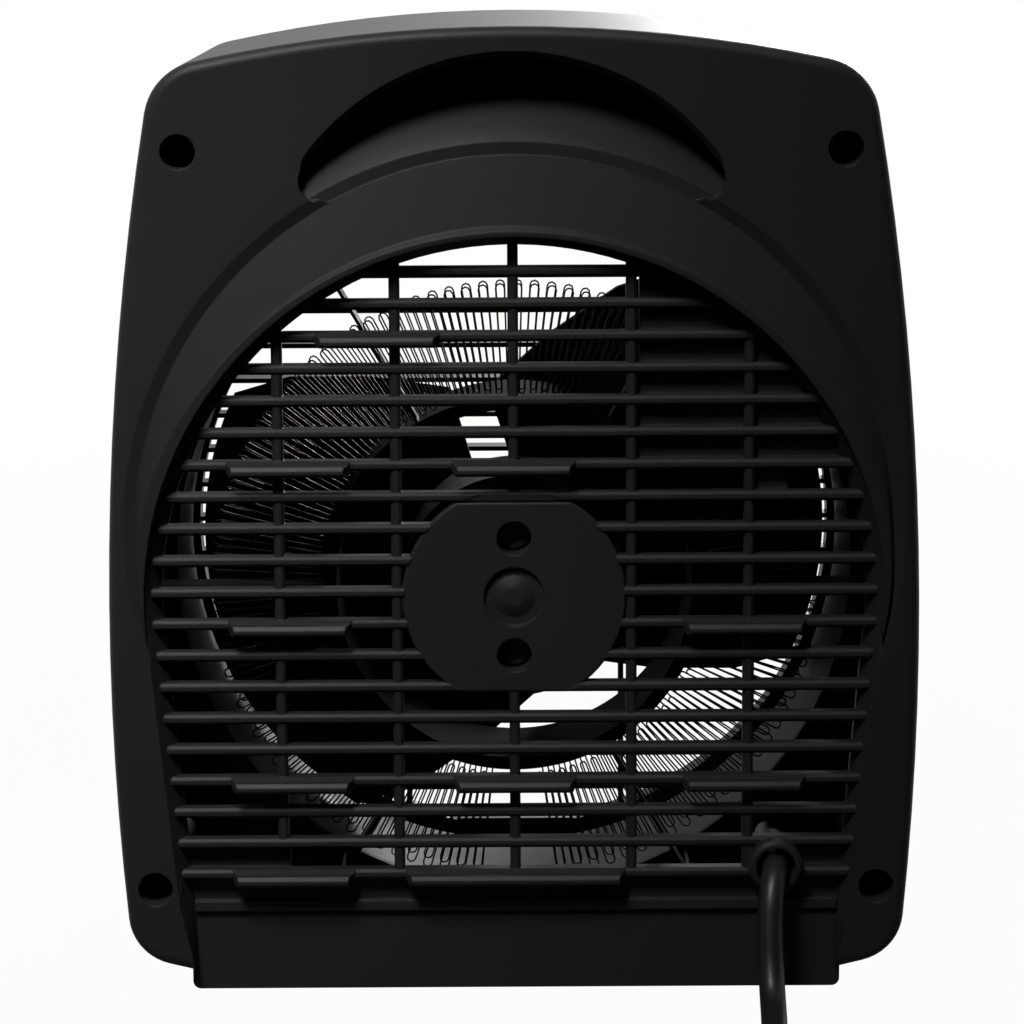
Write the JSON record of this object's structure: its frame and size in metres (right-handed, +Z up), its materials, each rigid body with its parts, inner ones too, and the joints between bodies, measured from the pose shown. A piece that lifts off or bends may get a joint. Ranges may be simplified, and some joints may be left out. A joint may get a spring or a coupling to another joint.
{
  "type": "portable fan heater",
  "caption": "Compact upright fan heater with a moulded two-shell casing, finger scoop, slatted grilles, two control knobs, fan, element and coiled mains cord",
  "frame": {"origin": "on the floor under the middle of the casing", "axes": "+Z up, +Y towards the back grille, +X to the right seen from the front"},
  "size_m": [0.22, 0.33, 0.2667],
  "materials": {
    "casing": "satin moulded",
    "grille": "satin moulded",
    "baffle": "matt black",
    "reflector": "polished",
    "ring_ceramic": "dark heat-proof coat",
    "mica": "laminated mica",
    "resistance_wire": "oxidised",
    "cutout_body": "phenolic",
    "motor_steel": "zinc plated",
    "bronze": "sintered",
    "laminations": "stacked sheet",
    "copper": "enamelled wire",
    "shaft_steel": "ground",
    "fan_plastic": "moulded",
    "spring_steel": "spring",
    "screw_steel": "blackened",
    "control_plastic": "moulded",
    "knob_plastic": "satin",
    "lens": "clear red",
    "lamp_glass": "clear",
    "terminal_plastic": "moulded",
    "cord_jacket": "satin",
    "lead_sleeve": "silicone",
    "plug_plastic": "satin moulded",
    "brass": "plated"
  },
  "bodies": {
    "casing": {"baffle_plate": "baffle", "baffle_screws": "screw_steel", "cord_clamp": "control_plastic", "cord_coil": "cord_jacket", "cord_tail": "cord_jacket", "element_ring": "ring_ceramic", "front_bearing": "bronze", "front_grille": "grille", "front_housing": "casing", "heating_wire_high": "resistance_wire", "heating_wire_low": "resistance_wire", "housing_screws": "screw_steel", "indicator_lens": "lens", "inner_leads": "lead_sleeve", "mica_spokes": "mica", "motor_can": "motor_steel", "motor_end_cap": "motor_steel", "motor_screws": "screw_steel", "neon_lamp": "lamp_glass", "plug_blades": "brass", "plug_body": "plug_plastic", "plug_relief": "plug_plastic", "power_cord": "cord_jacket", "rear_bearing": "bronze", "rear_housing": "casing", "reflector_ring": "reflector", "reflector_screws": "screw_steel", "selector_body": "control_plastic", "stator_core": "laminations", "stator_windings": "copper", "terminal_block": "terminal_plastic", "thermal_cutout": "cutout_body", "thermal_fuse": "cutout_body", "thermostat_body": "control_plastic"},
    "fan": {"impeller": "fan_plastic", "fan_clip": "spring_steel", "motor_shaft": "shaft_steel", "rotor_core": "laminations"},
    "thermostat": {"thermostat_knob": "knob_plastic", "thermostat_shaft": "shaft_steel"},
    "selector": {"selector_knob": "knob_plastic", "selector_shaft": "shaft_steel"}
  },
  "joints": [
    {"name": "fan_spin", "type": "hinge", "parent": "casing", "child": "fan", "pos_m": [0, 0, 0.1124], "axis": [0, 1, 0], "continuous": true},
    {"name": "thermostat_turn", "type": "hinge", "parent": "casing", "child": "thermostat", "pos_m": [0.042, -0.05, 0.232], "axis": [0, 1, 0], "range_deg": [-135, 135]},
    {"name": "selector_turn", "type": "hinge", "parent": "casing", "child": "selector", "pos_m": [-0.042, -0.05, 0.232], "axis": [0, 1, 0], "range_deg": [0, 135]}
  ]
}
